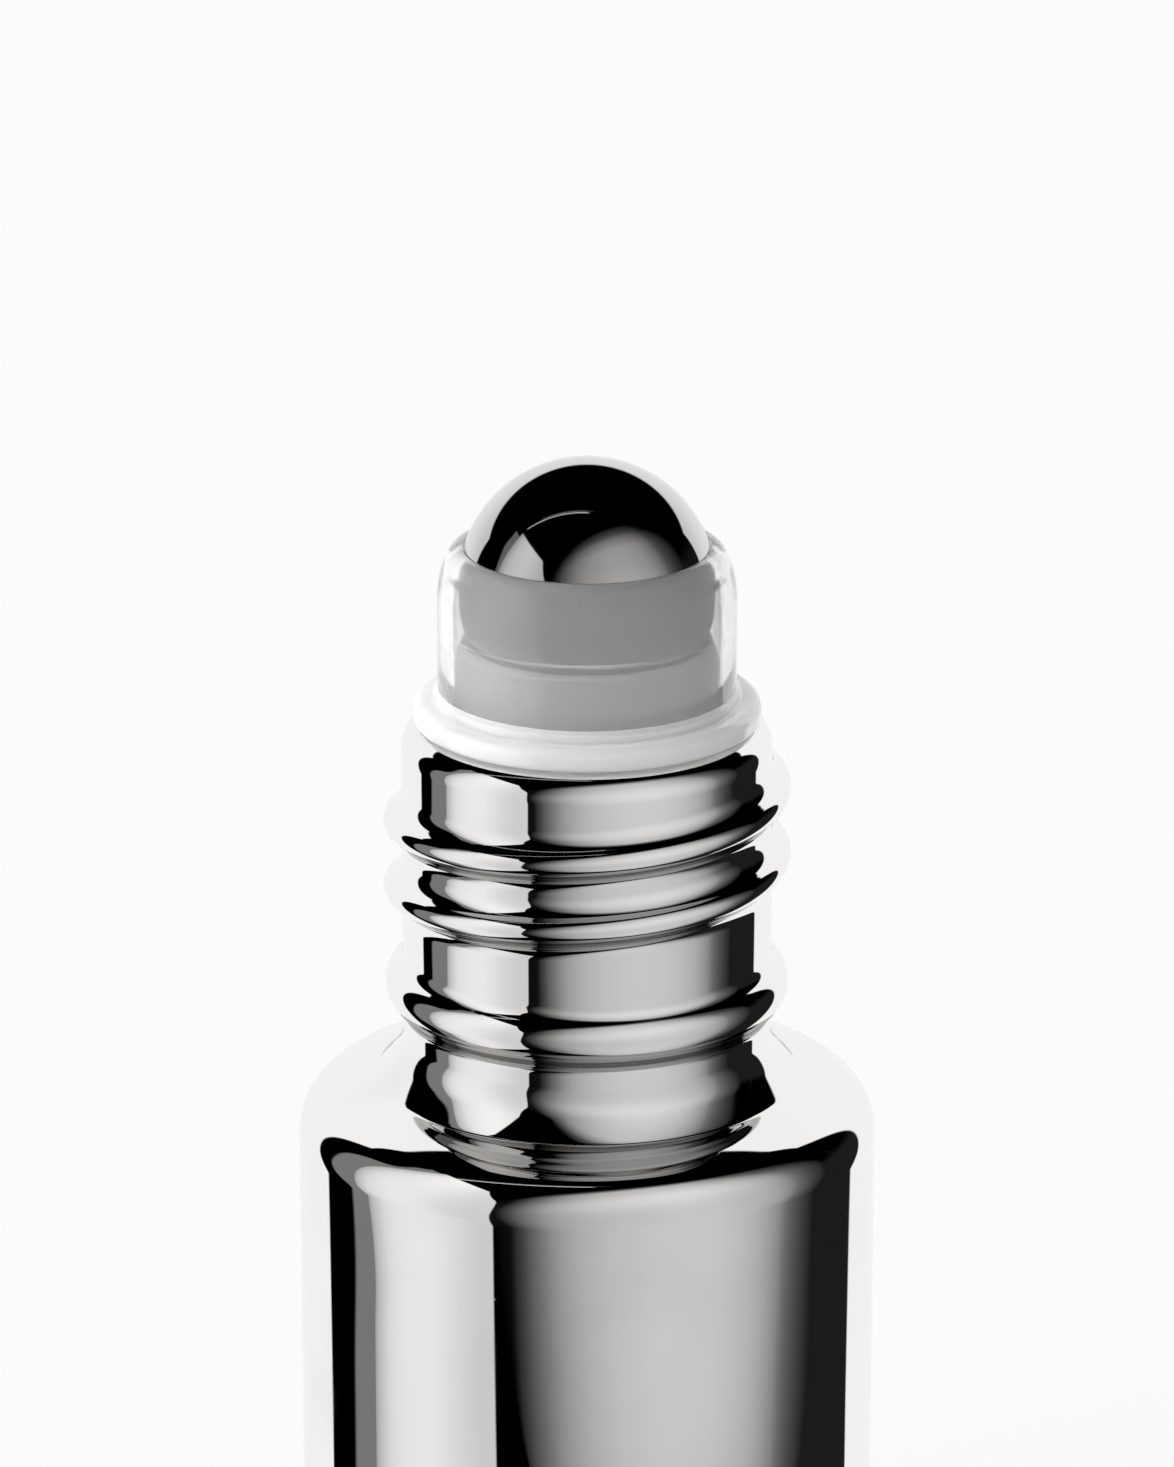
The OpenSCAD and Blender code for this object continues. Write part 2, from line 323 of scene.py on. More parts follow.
def roughen(tree, shader, marked, gloss, smear_rough, speck_rough=0):
    """Roughness of a handled surface: its plain gloss, and what smears and specks of dust add to it."""
    rough = calc(tree, "MULTIPLY_ADD", marked.outputs["Smear"], smear_rough, gloss)
    if speck_rough:
        rough = calc(tree, "MULTIPLY_ADD", marked.outputs["Speck"], speck_rough, rough)
    tree.links.new(rough, shader.inputs["Roughness"])


def bump(tree, shader, height, depth):
    """Raises the shader's surface by the height map, which runs from 0 to the given depth."""
    node = tree.nodes.new("ShaderNodeBump")
    node.inputs["Distance"].default_value = depth
    tree.links.new(height, node.inputs["Height"])
    tree.links.new(node.outputs["Normal"], shader.inputs["Normal"])


def face_middles(piece):
    """Height of each face's middle, and its distance from the Z axis."""
    middles = np.empty(3 * len(piece.data.polygons), np.float32)
    piece.data.polygons.foreach_get("center", middles)
    x, y, z = middles.reshape(-1, 3).astype(float).T
    return z, np.hypot(x, y)


# The coat mirrors like polished silver. Blown glass under it leaves a faint ripple in what it mirrors.
# Where a mirror is seen in the mirror, the coat's colour is painted darker: painted shade for light that
# bounces about in the hollows.
silver_colour, silver_smear_colour = (0.95, 0.94, 0.925, 1), (0.9, 0.89, 0.875, 1)
silver_gloss, silver_smear_rough, silver_speck_rough = 0.02, 0.03, 0.1
mirrored_shade_colour = (0.42, 0.41, 0.4, 1)
ripple_size, ripple_depth = 3 * mm, 0.0012 * mm
tree, silver, place, marked = finish_of(
    "mirror_silver_coat", bottle, "silvered_glass", "bottle", "glass_bottle")
silver.inputs["Metallic"].default_value = 1
handled = tinted(tree, marked.outputs["Smear"], silver_colour, silver_smear_colour)
# Painted shade: the coat turns darker wherever a glossy ray sees it.
seen_in_mirror = tree.nodes.new("ShaderNodeLightPath").outputs["Is Glossy Ray"]
tree.links.new(tinted(tree, seen_in_mirror, handled, mirrored_shade_colour), silver.inputs["Base Color"])
roughen(tree, silver, marked, silver_gloss, silver_smear_rough, silver_speck_rough)
bump(tree, silver, noise(tree, place, ripple_size, detail=1), ripple_depth)

# Inside, the back of the coat shows through the glass as a softer and darker mirror.
inside_colour, inside_smear_colour, inside_gloss = (0.6, 0.6, 0.59, 1), (0.52, 0.52, 0.51, 1), 0.35
tree, inner, _, marked = finish_of(
    "coat_seen_from_inside", bottle, "silvered_glass", "bottle", "glass_bottle")
inner.inputs["Metallic"].default_value = 1
inner.inputs["Roughness"].default_value = inside_gloss
tree.links.new(tinted(tree, marked.outputs["Smear"], inside_colour, inside_smear_colour),
               inner.inputs["Base Color"])
face_z, face_r = face_middles(bottle)
in_neck = (face_z < mouth_z - mouth_inner_r) & (face_r < (bore_r + neck_r) / 2)
in_body = (face_z < ceiling_z + near) & (face_r < body_r - side_wall + near)
inside_faces = (face_z > floor_z - near) & (in_neck | in_body)
bottle.data.polygons.foreach_set("material_index", inside_faces.astype(np.int32))


# Ball seat
# The real piece is a small ring of milky plastic, pressed into the housing. Its bowl carries the ball, and
# its feed hole and two crossed grooves lead the liquid to it.
ball_low, ball_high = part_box("roller_ball")
ball_r, ball_z = (ball_high.z - ball_low.z) / 2, (ball_high.z + ball_low.z) / 2
seat_low, seat_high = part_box("ball_seat")
seat_r, bowl_gap, feed_r, spigot_r = seat_high.y, 0.04 * mm, 1.6 * mm, 3.68 * mm
seat_top_cut, seat_chamfer_w, seat_chamfer_h, seat_edge_r = 0.3 * mm, 0.3 * mm, 0.75 * mm, 0.12 * mm
seat_top_z = seat_high.z - seat_top_cut
groove_w, groove_depth, groove_end, groove_side_share = 0.7 * mm, 0.2 * mm, 0.4 * mm, 0.125
flange_t, seat_turns = 0.95 * mm, 240
cavity_floor_z = mouth_z + flange_t


def rounded(corners, steps=6):
    """Outline through corners given as (r, z, rounding). Each rounding is an arc that touches both sides of
    its corner: it starts and ends the rounding over the tangent of half the corner's angle away from it. A
    corner with no rounding, or on a side that runs straight on, stays one point."""
    straight_on = math.radians(89)
    corners = np.array(corners, float)
    places, radii = corners[:, :2], corners[:, 2]
    parts = []
    for before, here, after, radius in zip(np.roll(places, 1, 0), places, np.roll(places, -1, 0), radii):
        back = (before - here) / np.linalg.norm(before - here)
        on = (after - here) / np.linalg.norm(after - here)
        half = math.acos(np.clip(back @ on, -1, 1)) / 2
        if radius == 0 or half > straight_on:
            parts.append(here[None, :])
            continue
        middle = here + (back + on) / np.linalg.norm(back + on) * radius / math.sin(half)
        start, end = here + back * radius / math.tan(half), here + on * radius / math.tan(half)
        first, last = (math.degrees(math.atan2(*(p - middle)[::-1])) for p in (start, end))
        last += 360 * round((first - last) / 360)
        parts.append(arc(middle, radius, first, last, steps))
    return np.concatenate(parts)


def seat_outline():
    """Half outline of the seat, anticlockwise from the feed hole's upper edge: feed hole, spigot, ring, top
    edge and bowl."""
    bowl_r = ball_r + bowl_gap
    body = rounded([
        (feed_r, ball_z - math.sqrt(bowl_r**2 - feed_r**2), 0), (feed_r, seat_low.z, seat_edge_r),
        (spigot_r, seat_low.z, seat_edge_r), (spigot_r, cavity_floor_z, 0),
        (seat_r, cavity_floor_z, seat_edge_r), (seat_r, seat_top_z - seat_chamfer_h, seat_edge_r),
        (seat_r - seat_chamfer_w, seat_top_z, 0)])
    top_turn = -math.degrees(math.asin((ball_z - seat_top_z) / bowl_r))
    feed_turn = -math.degrees(math.acos(feed_r / bowl_r))
    return np.concatenate([body, arc((0, ball_z), bowl_r, top_turn, feed_turn, steps=24)[:-1]])


seat_points = seat_outline()
off_bowl = np.hypot(seat_points[:, 0], seat_points[:, 1] - ball_z) - ball_r - bowl_gap
in_bowl = np.abs(off_bowl) < same_place


def sink_grooves(r, z, turn):
    """Moves the bowl's points outwards where they lie within half a groove's width of the X or the Y axis.
    The grooves run out below the top edge."""
    x, y = r * np.cos(np.radians(turn)), r * np.sin(np.radians(turn))
    off_centre = np.minimum(np.abs(x), np.abs(y))
    sunk = groove_depth * ease((groove_w / 2 - off_centre) / (groove_w * groove_side_share))
    sunk = sunk * ease((seat_top_z - groove_end - z) / groove_end)
    return r + in_bowl[:, None] * sunk, z


seat = turned_piece("ball_seat_ring", seat_points, seat_turns, sink_grooves)
milky_colour, milky_ior, milky_clear, milky_depth = (0.27, 0.273, 0.273, 1), 1.5, 0.1, 0.35 * mm
milky_gloss, milky_smear_rough, milky_grain_size, milky_grain_depth = 0.3, 0.1, 0.4 * mm, 0.002 * mm


def cloud(shader, colour, ior, share, depth):
    """Sets cloudy plastic: the share passes as through glass, and the rest scatters in it to the depth."""
    shader.inputs["Base Color"].default_value = colour
    shader.inputs["IOR"].default_value = ior
    shader.inputs["Transmission Weight"].default_value = share
    shader.inputs["Subsurface Weight"].default_value = 1
    shader.inputs["Subsurface Radius"].default_value = (1, 1, 1)
    shader.inputs["Subsurface Scale"].default_value = depth


tree, milky, place, marked = finish_of("milky_plastic", seat, "natural_plastic", "fitment", "ball_seat")
cloud(milky, milky_colour, milky_ior, milky_clear, milky_depth)
roughen(tree, milky, marked, milky_gloss, milky_smear_rough)
bump(tree, milky, noise(tree, place, milky_grain_size, detail=2), milky_grain_depth)


# Roller housing
# The real piece is one clear plastic moulding. Its plug snaps into the neck, its flange rests on the mouth,
# and its collar is rolled in over the ball as a lip, so that the ball turns but stays in. Pressing the seat
# in has scuffed two fine rings inside it.
housing_low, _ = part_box("roller_housing")
cavity_r, collar_r, flange_r = 5.18 * mm, 5.78 * mm, 6.75 * mm
flange_top_r, flange_foot_r = 0.43 * mm, 0.22 * mm
lip_r, lip_rise, curve_r, curve_drop = 0.5 * mm, 1.6 * mm, 3.4 * mm, 0.35 * mm
cage_turn, foot_step_w, foot_step_h, foot_round_r = 6, 0.16 * mm, 0.3 * mm, 0.12 * mm
plug_r, plug_inner_r, plug_lead, lead_depth = 4.5 * mm, 3.7 * mm, 0.9 * mm, 0.3 * mm
rib_h, rib_reach, rib_slope, rib_crest_share = 0.27 * mm, 0.8 * mm, 60, 0.5
rib_count, rib_rows, mouth_clearance, housing_turns = 3, 25, 0.01 * mm, 300
scuff_above, scuff_below, scuff_w = 0.15 * mm, 0.35 * mm, 0.05 * mm
scuff_zs = (seat_high.z + scuff_above, seat_high.z - scuff_below)


def housing_outline():
    """Half outline of the housing: plug, ribs, flange and collar up the outside, over the lip, and down the
    inside. The lip's arc ends where it meets the band of the cage, a ball's radius and the gap from the
    ball's centre."""
    curve = np.array([collar_r - curve_r, ball_z - curve_drop])
    curve_turn = math.degrees(math.asin((lip_rise + curve_drop - lip_r) / (curve_r - lip_r)))
    lip = curve + (curve_r - lip_r) * direction(curve_turn)
    band_r = ball_r + bowl_gap
    reach = math.hypot(lip[0], lip[1] - ball_z)
    meet = math.degrees(math.acos((reach**2 + lip_r**2 - band_r**2) / (2 * reach * lip_r)))
    lip_end = 180 + math.degrees(math.atan2(lip[1] - ball_z, lip[0])) - meet
    end = lip + lip_r * direction(lip_end)
    band_turn = math.degrees(math.atan2(end[1] - ball_z, end[0]))
    cage_r, cage_z = (0, ball_z) + band_r * direction(cage_turn)
    rib_pitch = (mouth_z - housing_low.z - plug_lead) / rib_count
    rib_z = mouth_z - rib_pitch * (np.arange(rib_count)[::-1] + 0.5)
    plug_z = np.concatenate([
        np.linspace(middle - rib_reach, middle + rib_reach, rib_rows) for middle in rib_z])
    ribs = np.sum([ridge(plug_z - middle, rib_h, rib_slope, rib_crest_share) for middle in rib_z], axis=0)
    foot_r, foot_top_z = collar_r + foot_step_w, cavity_floor_z + foot_step_h
    foot = rounded([
        (plug_r, mouth_z + mouth_clearance, 0), (flange_r, mouth_z + mouth_clearance, flange_foot_r),
        (flange_r, cavity_floor_z, flange_top_r), (foot_r, cavity_floor_z, foot_round_r),
        (foot_r, foot_top_z, foot_round_r / 2), (collar_r, foot_top_z + foot_step_w, foot_round_r),
        (collar_r, curve[1], 0), (cavity_r, curve[1], 0)], steps=10)[:-2]
    scuffs = [(cavity_r, z + half, 0) for z in scuff_zs for half in (scuff_w / 2, -scuff_w / 2)]
    inside = rounded([
        (cage_r, cage_z, 0), (cavity_r, cage_z - (cavity_r - cage_r), foot_round_r / 2), *scuffs,
        (cavity_r, cavity_floor_z, foot_round_r), (plug_inner_r, cavity_floor_z, foot_round_r),
        (plug_inner_r, housing_low.z, foot_round_r), (plug_r - lead_depth, housing_low.z, foot_round_r),
        (plug_r, housing_low.z + plug_lead, 0)])
    return np.concatenate([
        np.column_stack([plug_r + ribs, plug_z]), foot, arc(curve, curve_r, 0, curve_turn, steps=20)[1:],
        arc(lip, lip_r, curve_turn, lip_end, steps=20)[1:],
        arc((0, ball_z), band_r, band_turn, cage_turn, steps=10)[1:-1], inside])


housing = turned_piece("roller_housing_shell", housing_outline(), housing_turns)
clear_colour, clear_gloss, clear_smear_rough, clear_depth = (0.97, 0.975, 0.975, 1), 0.03, 0.03, 0.8 * mm
clear_ripple_size, clear_ripple_depth, passes_matt_light = 2 * mm, 0.0004 * mm, 0.85
thin_share, thin_ior, thick_share, thick_ior, scuff_share = 0.88, 1.1, 0.3, 1.5, 0.7
thick_from = 0.1 * mm


def see_through(name, share, ior):
    """The plastic of the housing. The share goes straight through it, and the rest is scattered as in milk.
    Light on its way to matt surfaces is let through, as it would else be lost before the ball seat."""
    tree, clear, place, marked = finish_of(name, housing, "clear_plastic", "fitment", "roller_housing")
    cloud(clear, clear_colour, ior, share, clear_depth)
    clear.inputs["Coat Weight"].default_value = 1
    clear.inputs["Coat Roughness"].default_value = clear_gloss
    roughen(tree, clear, marked, clear_gloss, clear_smear_rough)
    bump(tree, clear, noise(tree, place, clear_ripple_size, detail=1), clear_ripple_depth)
    ray = tree.nodes.new("ShaderNodeLightPath")
    matt_light = calc(tree, "MAXIMUM", ray.outputs["Is Shadow Ray"], ray.outputs["Is Diffuse Ray"])
    tree.links.new(calc(tree, "MULTIPLY_ADD", matt_light, -passes_matt_light, 1.0), clear.inputs["Alpha"])


see_through("clear_plastic_thin", thin_share, thin_ior)
see_through("clear_plastic_thick", thick_share, thick_ior)
see_through("clear_plastic_scuffed", scuff_share, thin_ior)
face_z, face_r = face_middles(housing)
off_scuff = np.min([np.abs(face_z - z) for z in scuff_zs], axis=0)
scuffed = (off_scuff < scuff_w / 4) & (face_r < cavity_r + near)
thick = (face_z < cavity_floor_z + foot_step_h + foot_step_w) & (face_r > cavity_r + thick_from)
housing.data.polygons.foreach_set("material_index", np.select([scuffed, thick], [2, 1], 0).astype(np.int32))


# Roller ball
# The real piece is a ground and tumbled stainless steel ball, loose in its cage. Rolling on skin and in the
# cage leaves a fine grain on it. Its colour is painted paler round its rim: a painted sheen, as steel
# mirrors more at a slant.
ball_turns, ball_rows = 192, 96
ball_points = arc((0, ball_z), ball_r, -90, 90, ball_rows)
ball_points[[0, -1], 0] = 0
ball = turned_piece("steel_roller_ball", ball_points, ball_turns)
steel_colour, steel_rim_sheen_colour, sheen_from, sheen_full = (0.56, 0.55, 0.54, 1), (0.7, 0.7, 0.695, 1), 0.45, 0.7
steel_gloss, steel_smear_rough, steel_grain_size, steel_grain_depth = 0.04, 0.04, 0.8 * mm, 0.0004 * mm
tree, steel, place, marked = finish_of("tumbled_steel", ball, "polished_steel", "ball", "roller_ball")
steel.inputs["Metallic"].default_value = 1
# Painted sheen: the base colour turns paler where the ball's surface faces away, round its rim.
slant = tree.nodes.new("ShaderNodeLayerWeight").outputs["Facing"]
tree.links.new(tinted(tree, fade(tree, slant, sheen_from, sheen_full), steel_colour, steel_rim_sheen_colour),
               steel.inputs["Base Color"])
roughen(tree, steel, marked, steel_gloss, steel_smear_rough)
bump(tree, steel, noise(tree, place, steel_grain_size, detail=3), steel_grain_depth)


# Floor
# A plain pale sheet of matt paper. Metal sees it only close by, as it stands on it, and mirrors the studio
# farther off.
floor_half_w, floor_colour = 6, (0.975, 0.975, 0.975, 1)
floor_near, floor_far = 22 * mm, 55 * mm


def flat_stage(name, corners, finish):
    """Flat sheet through four corners, as a part of the stage. Gives it and its new material."""
    mesh = bpy.data.meshes.new(name)
    mesh.from_pydata(corners, [], [(0, 1, 2, 3)])
    sheet = bpy.data.objects.new(name, mesh)
    bpy.context.scene.collection.objects.link(sheet)
    material = bpy.data.materials.new(finish)
    material.use_nodes = True
    mesh.materials.append(material)
    return sheet, material


def surface_of(tree, output, share, first, second):
    """Sends a mix of two shaders to the output. The share is that of the second."""
    mixed = tree.nodes.new("ShaderNodeMixShader")
    for socket, value in zip(mixed.inputs, (share, first, second)):
        tree.links.new(value, socket)
    tree.links.new(mixed.outputs["Shader"], output.inputs["Surface"])


floor_corners = [(floor_half_w * x, floor_half_w * y, 0) for x, y in ((-1, -1), (1, -1), (1, 1), (-1, 1))]
_, white_paper = flat_stage("studio_floor", floor_corners, "white_paper")
tree = white_paper.node_tree
paper = tree.nodes["Principled BSDF"]
paper.inputs["Base Color"].default_value = floor_colour
paper.inputs["Roughness"].default_value = 1
paper.inputs["Specular IOR Level"].default_value = 0
ray = tree.nodes.new("ShaderNodeLightPath")
unseen = product(tree, ray.outputs["Is Glossy Ray"],
                 fade(tree, ray.outputs["Ray Length"], floor_near, floor_far))
surface_of(tree, tree.nodes["Material Output"], unseen, paper.outputs["BSDF"],
           tree.nodes.new("ShaderNodeBsdfTransparent").outputs["BSDF"])


# Studio
# Cards stand close round the bottle, as in a small light tent: a soft box and a grey flag on the left, a
# round diffuser on the right, and a white sheet behind. Only mirrors and the gloss of the plastics see them.
# A card is clear where it is dark. Edges that bend are given in units of 100 mm, at heights in millimetres.
card_half_w, card_top, card_faint = 140 * mm, 140 * mm, 0.03
edge_soft, edge_unit, highest_level = 0.8 * mm, 100 * mm, 2


def studio_card(name, middle, across):
    """Flat upright card through a point, along a level direction, that only glossy surfaces see. Gives its
    node tree, the distance along it from its point nearest to the Z axis, and the height on it."""
    middle, across, rise = np.array([*middle, 0.0]), np.array([*across, 0.0]), np.array([0, 0, card_top])
    left, right = middle - across * card_half_w, middle + across * card_half_w
    card, glow = flat_stage(name, [left, right, right + rise, left + rise], name)
    card.visible_camera = card.visible_diffuse = card.visible_transmission = card.visible_shadow = False
    glow.cycles.emission_sampling = "NONE"
    tree = glow.node_tree
    tree.nodes.clear()
    split = tree.nodes.new("ShaderNodeSeparateXYZ")
    tree.links.new(tree.nodes.new("ShaderNodeTexCoord").outputs["Object"], split.inputs["Vector"])
    along = calc(tree, "ADD", product(tree, split.outputs["X"], float(across[0])),
                 product(tree, split.outputs["Y"], float(across[1])))
    return tree, along, split.outputs["Z"]


def light_up(tree, level):
    """Lets a card glow at the level. It is clear where that is nought, and to rays that have come through
    plastic, which see the backdrop instead."""
    through = tree.nodes.new("ShaderNodeLightPath").outputs["Is Transmission Ray"]
    level = product(tree, level, calc(tree, "SUBTRACT", 1.0, through))
    glow = tree.nodes.new("ShaderNodeEmission")
    tree.links.new(level, glow.inputs["Strength"])
    surface_of(tree, tree.nodes.new("ShaderNodeOutputMaterial"), fade(tree, level, 0.0, card_faint),
               tree.nodes.new("ShaderNodeBsdfTransparent").outputs["BSDF"], glow.outputs["Emission"])


def between(tree, value, low, high, soft):
    """1 where the value lies between low and high, falling to 0 over the softness of each edge."""
    rise = fade(tree, value, low - soft, low + soft)
    return product(tree, rise, fade(tree, value, high + soft, high - soft))


def levels(tree, value, stops):
    """Level that runs through the stops, given as {millimetres: level}, eased from each to the next."""
    node = tree.nodes.new("ShaderNodeFloatCurve")
    low, high = min(stops), max(stops)
    curve = node.mapping.curves[0]
    node.mapping.clip_max_y = highest_level
    curve.points[0].location = (0, stops[low])
    curve.points[1].location = (1, stops[high])
    for place in sorted(stops)[1:-1]:
        curve.points.new((place - low) / (high - low), stops[place])
    node.mapping.update()
    share = tree.nodes.new("ShaderNodeMapRange")
    tree.links.new(value, share.inputs["Value"])
    share.inputs["From Min"].default_value, share.inputs["From Max"].default_value = low * mm, high * mm
    tree.links.new(share.outputs["Result"], node.inputs["Value"])
    return node.outputs["Value"]


# The white sheet behind
sheet_back, sheet_middle, sheet_top, sheet_level = 20 * mm, -2.6 * mm, 80 * mm, 0.92
sheet_half_w = {0: 0.44, 26: 0.42, 40: 0.375, 60: 0.375, 80: 0.4}
tree, along, height = studio_card("back_sheet", (0, sheet_back), (1, 0))
off_middle = calc(tree, "ABSOLUTE", calc(tree, "SUBTRACT", along, sheet_middle))
past_edge = calc(tree, "MULTIPLY_ADD", levels(tree, height, sheet_half_w), -edge_unit, off_middle)
wide = fade(tree, past_edge, edge_soft, -edge_soft)
tall = fade(tree, height, sheet_top + edge_soft, sheet_top - edge_soft)
light_up(tree, product(tree, wide, tall, sheet_level))

# The soft box on the left, a little brighter upwards, falls off to its front and to its seam with the grey
# flag behind it. Front and seam are measured forwards from the axis, and the flag's rear edge backwards.
box_left, box_top, box_foot = -38 * mm, 98.5 * mm, 4 * mm
box_front = {0: 0.583, 22: 0.553, 41: 0.545, 58: 0.552, 72: 0.543, 79: 0.525, 84: 0.475, 91: 0.42,
             100: 0.365}
box_seam = {0: 0.056, 15: 0.056, 25: 0.056, 28: 0.058, 35: 0.008, 37: 0.006, 50: 0.006, 62: 0.02, 72: 0.034,
            100: 0.034}
box_levels = {-55.4: 0.64, -50.4: 0.66, -42.4: 0.66, -32.4: 0.73, -25.4: 0.81, -18.4: 0.88, -12.4: 0.875,
              -6.4: 0.8, -2.8: 0.63, -1.2: 0.52, 0: 0.36}
box_foot_gain, box_rise_gain = 0.92, 1.5
flag_rear = {0: 0.02, 22: 0.021, 30: 0.018, 37: 0.09, 46: 0.09, 62: 0.05, 70: -0.008, 77: -0.008, 85: 0.012,
             91: 0.014, 98: 0.03, 100: 0.03}
flag_top, flag_level = 95 * mm, 0.19
tree, along, height = studio_card("soft_box", (box_left, 0), (0, 1))
past_front = calc(tree, "MULTIPLY_ADD", levels(tree, height, box_front), edge_unit, along)
past_seam = calc(tree, "MULTIPLY_ADD", levels(tree, height, box_seam), edge_unit, along)
past_rear = calc(tree, "MULTIPLY_ADD", levels(tree, height, flag_rear), -edge_unit, along)
wide = product(tree, fade(tree, past_front, -edge_soft, edge_soft), calc(tree, "LESS_THAN", past_seam, 0.0))
tall = between(tree, height, box_foot, box_top, edge_soft)
brighter = calc(tree, "MULTIPLY_ADD", height, box_rise_gain, box_foot_gain)
box_light = product(tree, wide, tall, levels(tree, past_seam, box_levels), brighter)
wide = product(tree, calc(tree, "GREATER_THAN", past_seam, 0.0),
               fade(tree, past_rear, edge_soft, -edge_soft))
tall = between(tree, height, box_foot, flag_top, edge_soft)
light_up(tree, calc(tree, "ADD", box_light, product(tree, wide, tall, flag_level)))

# The round diffuser on the right. Its glow across it is spread by the width, and dimmed, for each height.
diffuser_turn, diffuser_reach, diffuser_middle = math.radians(35), 28 * mm, -4.5 * mm
diffuser_across = {-72: 0.012, -64: 0.02, -54: 0.055, -48: 0.1, -40: 0.175, -31: 0.305, -24.5: 0.395,
                   -19: 0.465, -15: 0.51, -11: 0.54, -4: 0.58, 2.6: 0.57, 6: 0.54, 10.5: 0.49, 15.5: 0.41,
                   22: 0.27, 32: 0.09, 52: 0.02, 119: 0.011}
diffuser_high = {16: 0, 24: 1, 34: 1.07, 45: 1.03, 52: 1.1, 62: 1.26, 72: 1.15, 81: 1, 92: 0.9, 97: 0.7,
                 103: 0.45, 110: 0.15, 120: 0.03, 126: 0}
diffuser_wide = {16: 0.75, 24: 0.78, 45: 1, 60: 1.02, 81: 0.95, 100: 0.9}
to_right, to_back = math.sin(diffuser_turn), -math.cos(diffuser_turn)
tree, along, height = studio_card("round_diffuser", (diffuser_reach * to_right, diffuser_reach * to_back),
                                  (-to_back, to_right))
off_middle = calc(tree, "DIVIDE", calc(tree, "SUBTRACT", along, diffuser_middle),
                  levels(tree, height, diffuser_wide))
across = levels(tree, calc(tree, "ADD", off_middle, diffuser_middle), diffuser_across)
light_up(tree, product(tree, across, levels(tree, height, diffuser_high)))

# The world beyond the cards is white to the camera and through plastic. To mirrors, it is dark but for two
# thin strip lamps high up in front and a faint glow low on the right. Matt surfaces are lit mostly from the
# left. A lamp's place is a share of the step up: how far to the front, and how far to the right.
backdrop, even_light, left_light, right_light, upper_light = 0.975, 0.15, 7.2, 1.2, 0.34
side_narrow, lowest_up, lamp_slant, lamp_lowest = 4, 0.001, -0.08, 0.3
lamp_front, lamp_soft, lamp_ends, lamp_end_soft = (0.08, 0.095), 0.004, (-1, 0.02), 0.02
second_front, second_soft, second_ends, second_end_soft = (0.052, 0.06), 0.003, (-0.62, 0.02), 0.1
second_share, right_glow, glow_right, glow_up = 0.4, 0.012, (0.2, 0.6), (0.3, 0.1)
plastic_faces, mirror_faces = 2.5, 0.5
studio = bpy.data.worlds.new("white_studio")
bpy.context.scene.world = studio
studio.use_nodes = True
studio.cycles.sampling_method = "NONE"
tree = studio.node_tree
tree.nodes.clear()
towards = tree.nodes.new("ShaderNodeSeparateXYZ")
tree.links.new(tree.nodes.new("ShaderNodeTexCoord").outputs["Generated"], towards.inputs["Vector"])
right, back, up = (towards.outputs[axis] for axis in ("X", "Y", "Z"))
upwards = calc(tree, "MAXIMUM", up, lowest_up)
strip_right = calc(tree, "DIVIDE", right, upwards)
strip_front = calc(tree, "DIVIDE", product(tree, back, -1.0), upwards)
strip_lean = calc(tree, "MULTIPLY_ADD", strip_right, lamp_slant, strip_front)
first_lamp = product(tree, between(tree, strip_lean, *lamp_front, lamp_soft),
                     between(tree, strip_right, *lamp_ends, lamp_end_soft))
second_lamp = product(tree, between(tree, strip_lean, *second_front, second_soft),
                      between(tree, strip_right, *second_ends, second_end_soft))
lamps = product(tree, calc(tree, "MULTIPLY_ADD", second_lamp, second_share, first_lamp),
                calc(tree, "GREATER_THAN", up, lamp_lowest))
glow = product(tree, fade(tree, right, *glow_right), fade(tree, up, *glow_up))
seen = calc(tree, "MULTIPLY_ADD", glow, right_glow, lamps)

sideways = calc(tree, "POWER", calc(tree, "ABSOLUTE", right), side_narrow)
on_left = calc(tree, "LESS_THAN", right, 0.0)
this_side = calc(tree, "MULTIPLY_ADD", on_left, left_light - right_light, right_light)
matt_light = calc(tree, "MULTIPLY_ADD", sideways, this_side, even_light)
matt_light = calc(tree, "MULTIPLY_ADD", product(tree, upwards, upwards), upper_light, matt_light)

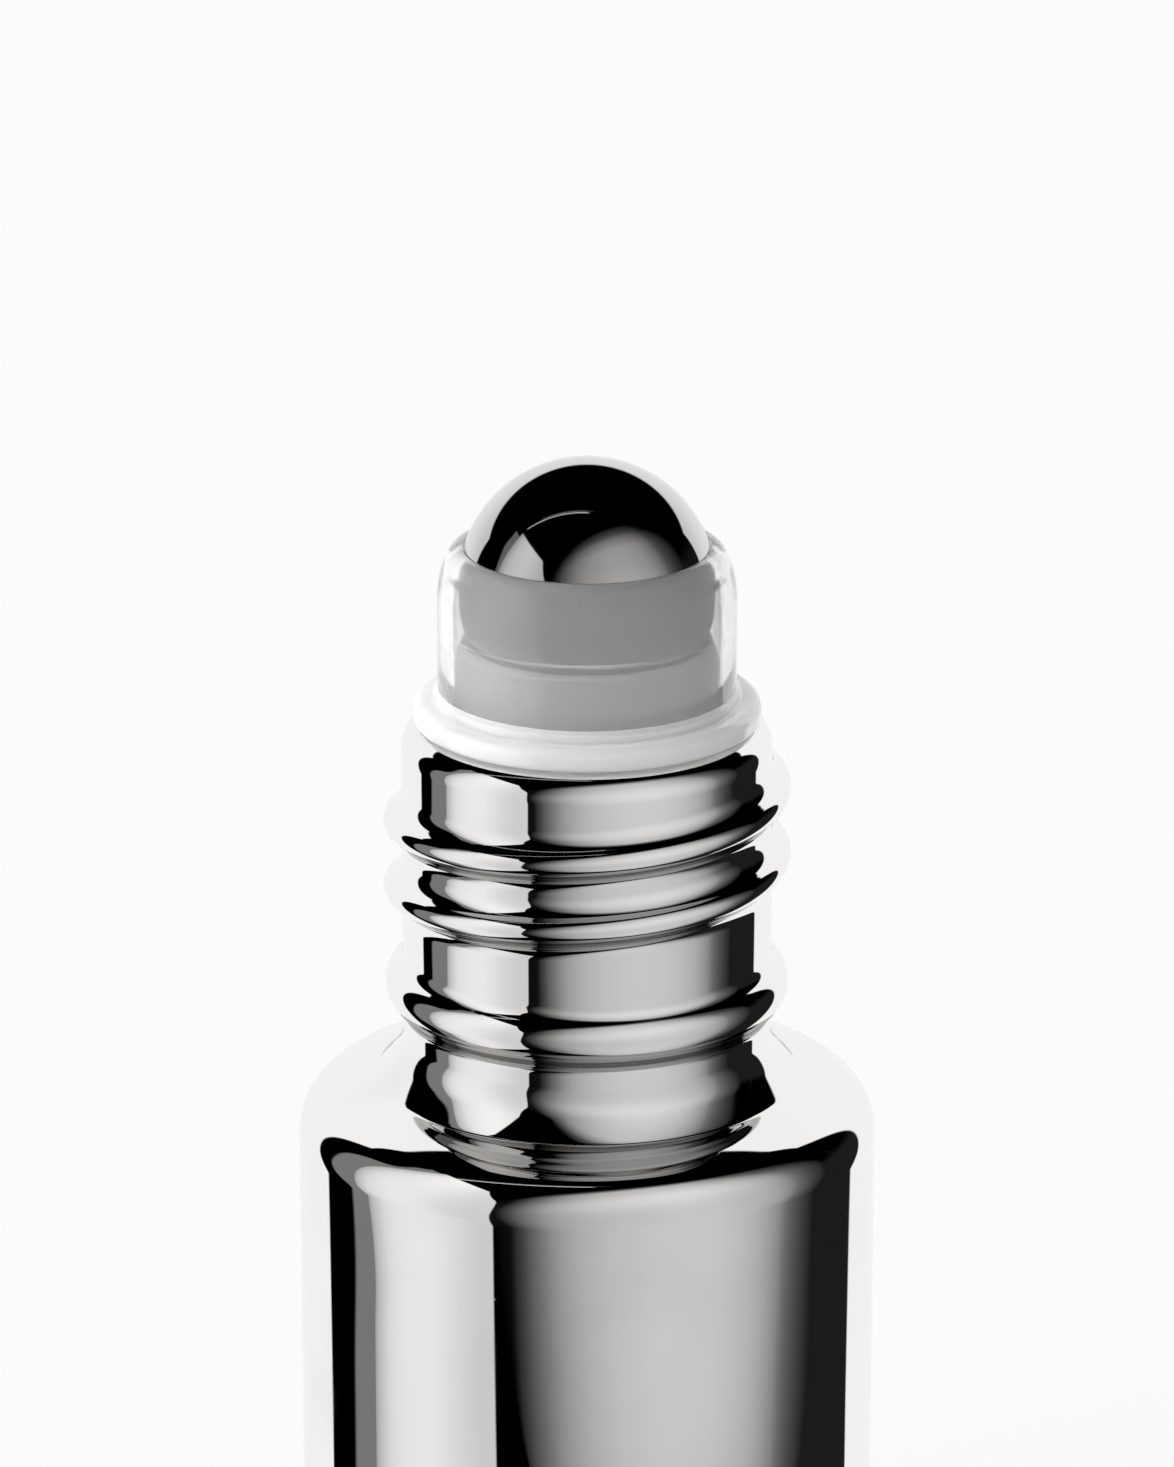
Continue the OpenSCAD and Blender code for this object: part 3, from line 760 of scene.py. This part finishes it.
# A ray that has met more faces of plastic than these, and a mirror, sees the world as a mirror does.
ray = tree.nodes.new("ShaderNodeLightPath")
mirrored = product(tree, calc(tree, "GREATER_THAN", ray.outputs["Transmission Depth"], plastic_faces),
                   calc(tree, "GREATER_THAN", ray.outputs["Glossy Depth"], mirror_faces))
straight = product(tree, ray.outputs["Is Transmission Ray"], calc(tree, "SUBTRACT", 1.0, mirrored))
for chosen, light in ((straight, backdrop), (ray.outputs["Is Diffuse Ray"], matt_light),
                      (ray.outputs["Is Camera Ray"], backdrop)):
    choice = tree.nodes.new("ShaderNodeMix")
    tree.links.new(chosen, choice.inputs["Factor"])
    tree.links.new(seen, choice.inputs["A"])
    if isinstance(light, float):
        choice.inputs["B"].default_value = light
    else:
        tree.links.new(light, choice.inputs["B"])
    seen = choice.outputs["Result"]
sky = tree.nodes.new("ShaderNodeBackground")
tree.links.new(seen, sky.inputs["Color"])
tree.links.new(sky.outputs["Background"], tree.nodes.new("ShaderNodeOutputWorld").inputs["Surface"])

# A broad, weak lamp from the upper left lays the soft shadow on the floor. Mirrors don't see it.
key_energy, key_width, key_tilt, key_lean = 0.6, math.radians(25), math.radians(35), math.radians(-22)
key = bpy.data.objects.new("soft_key", bpy.data.lights.new("soft_key", "SUN"))
bpy.context.scene.collection.objects.link(key)
key.data.energy, key.data.angle = key_energy, key_width
key.rotation_euler = (key_tilt, key_lean, 0)
key.visible_glossy = key.visible_transmission = False


# Camera, at the photograph's angle
camera_distance, camera_rise, aim_z, camera_lens = 309.6 * mm, math.radians(18.5), 59 * mm, 196.3
nearest, farthest = 10 * mm, 50
camera = bpy.data.objects.new("camera", bpy.data.cameras.new("camera"))
bpy.context.scene.collection.objects.link(camera)
bpy.context.scene.camera = camera
camera.data.lens = camera_lens
camera.data.clip_start, camera.data.clip_end = nearest, farthest
camera.location = (0, -camera_distance * math.cos(camera_rise),
                   aim_z + camera_distance * math.sin(camera_rise))
camera.rotation_euler = (math.pi / 2 - camera_rise, 0, 0)
bpy.context.scene.view_settings.view_transform = "Standard"
